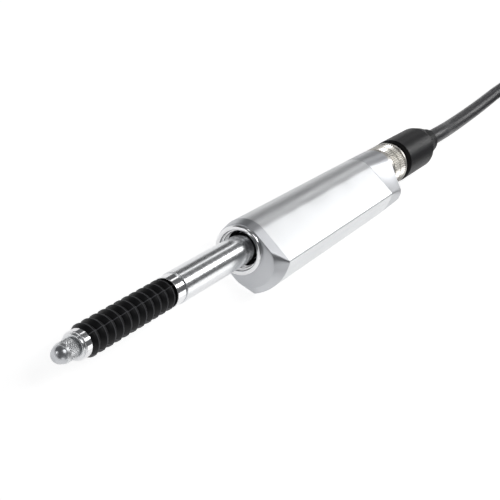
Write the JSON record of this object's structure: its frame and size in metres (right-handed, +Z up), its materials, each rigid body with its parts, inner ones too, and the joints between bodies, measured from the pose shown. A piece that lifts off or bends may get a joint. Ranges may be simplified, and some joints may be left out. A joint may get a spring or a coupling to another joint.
{
  "type": "linear gauge probe",
  "caption": "Linear gauge probe: a ball contact on a sprung plunger in a bellows, a clamping shank, a flat-sided housing with an optical scale, and a screwed plug with its cable",
  "frame": {"origin": "on the measuring axis, at the middle of the clamping shank's free length", "axes": "+X along the measuring axis towards the contact, +Y towards the housing's deep side, +Z up, with the probe lying on one of its two flats"},
  "size_m": [0.5045, 0.0568, 0.015],
  "materials": {
    "bearing_brass": "satin",
    "black_rubber": "matt",
    "board_green": "satin",
    "bright_steel": "polished",
    "cable_sheath": "matt",
    "cap_metal": "satin",
    "chip_black": "matt",
    "dark_plastic": "matt",
    "flex_amber": "gloss",
    "gold_contacts": "polished",
    "ground_steel": "polished",
    "nickelled_brass": "satin",
    "optical_glass": "clear",
    "ruby_black_plastic": "matt",
    "satin_aluminium": "satin",
    "spring_steel": "satin"
  },
  "bodies": {
    "housing": {"bellows": "black_rubber", "bellows_rear_ring": "bright_steel", "board_chips": "chip_black", "board_screws": "spring_steel", "cable": "cable_sheath", "cable_hank": "cable_sheath", "cable_tail": "cable_sheath", "cable_ties": "black_rubber", "circuit_board": "board_green", "clamping_shank": "ground_steel", "condenser_lens": "optical_glass", "far_plug_grip": "dark_plastic", "far_plug_insert": "dark_plastic", "far_plug_pins": "gold_contacts", "far_plug_ring": "dark_plastic", "far_strain_relief": "black_rubber", "flex_lead": "flex_amber", "frame_screws": "spring_steel", "front_cap": "cap_metal", "front_ring": "bright_steel", "guide_rail": "bearing_brass", "guide_sleeve": "ground_steel", "housing": "satin_aluminium", "light_sensor": "chip_black", "light_source": "chip_black", "plug_grip": "dark_plastic", "plug_insert": "dark_plastic", "plug_ring": "dark_plastic", "plug_seal": "black_rubber", "rear_cap": "cap_metal", "return_spring": "spring_steel", "scanner_frame": "satin_aluminium", "scanning_block": "ruby_black_plastic", "scanning_reticle": "optical_glass", "shank_seal": "black_rubber", "socket_insert": "dark_plastic", "socket_pins": "gold_contacts", "socket_shell": "nickelled_brass", "spring_seat": "bearing_brass", "strain_relief": "black_rubber"},
    "plunger": {"plunger": "ground_steel", "stop_collar": "ground_steel", "contact_holder": "bright_steel", "contact_ball": "bright_steel", "bellows_front_ring": "bright_steel", "scale_carrier": "satin_aluminium", "glass_scale": "optical_glass", "guide_pin": "bright_steel"},
    "cage": {"ball_cage": "bearing_brass", "guide_balls": "bright_steel"},
    "coupling_nut": {"coupling_nut": "nickelled_brass"},
    "far_sleeve": {"far_coupling_sleeve": "nickelled_brass"}
  },
  "joints": [
    {"name": "plunger_slide", "type": "slide", "parent": "housing", "child": "plunger", "axis": [-1, 0, 0], "range_m": [0, 0.012], "stiffness_N_per_m": 20, "springref_m": -0.03, "deforming": ["bellows", "return_spring"]},
    {"name": "cage_slide", "type": "slide", "parent": "housing", "child": "cage", "axis": [-1, 0, 0], "range_m": [0, 0.006]},
    {"name": "coupling_nut_spin", "type": "hinge", "parent": "housing", "child": "coupling_nut", "pos_m": [-0.115, 0, 0], "axis": [1, 0, 0], "continuous": true},
    {"name": "far_sleeve_spin", "type": "hinge", "parent": "housing", "child": "far_sleeve", "pos_m": [-0.219, 0.0405, 0], "axis": [1, 0, 0], "continuous": true}
  ],
  "couplings": [
    {"joint": "cage_slide", "follows": "plunger_slide", "ratio": 0.5}
  ]
}
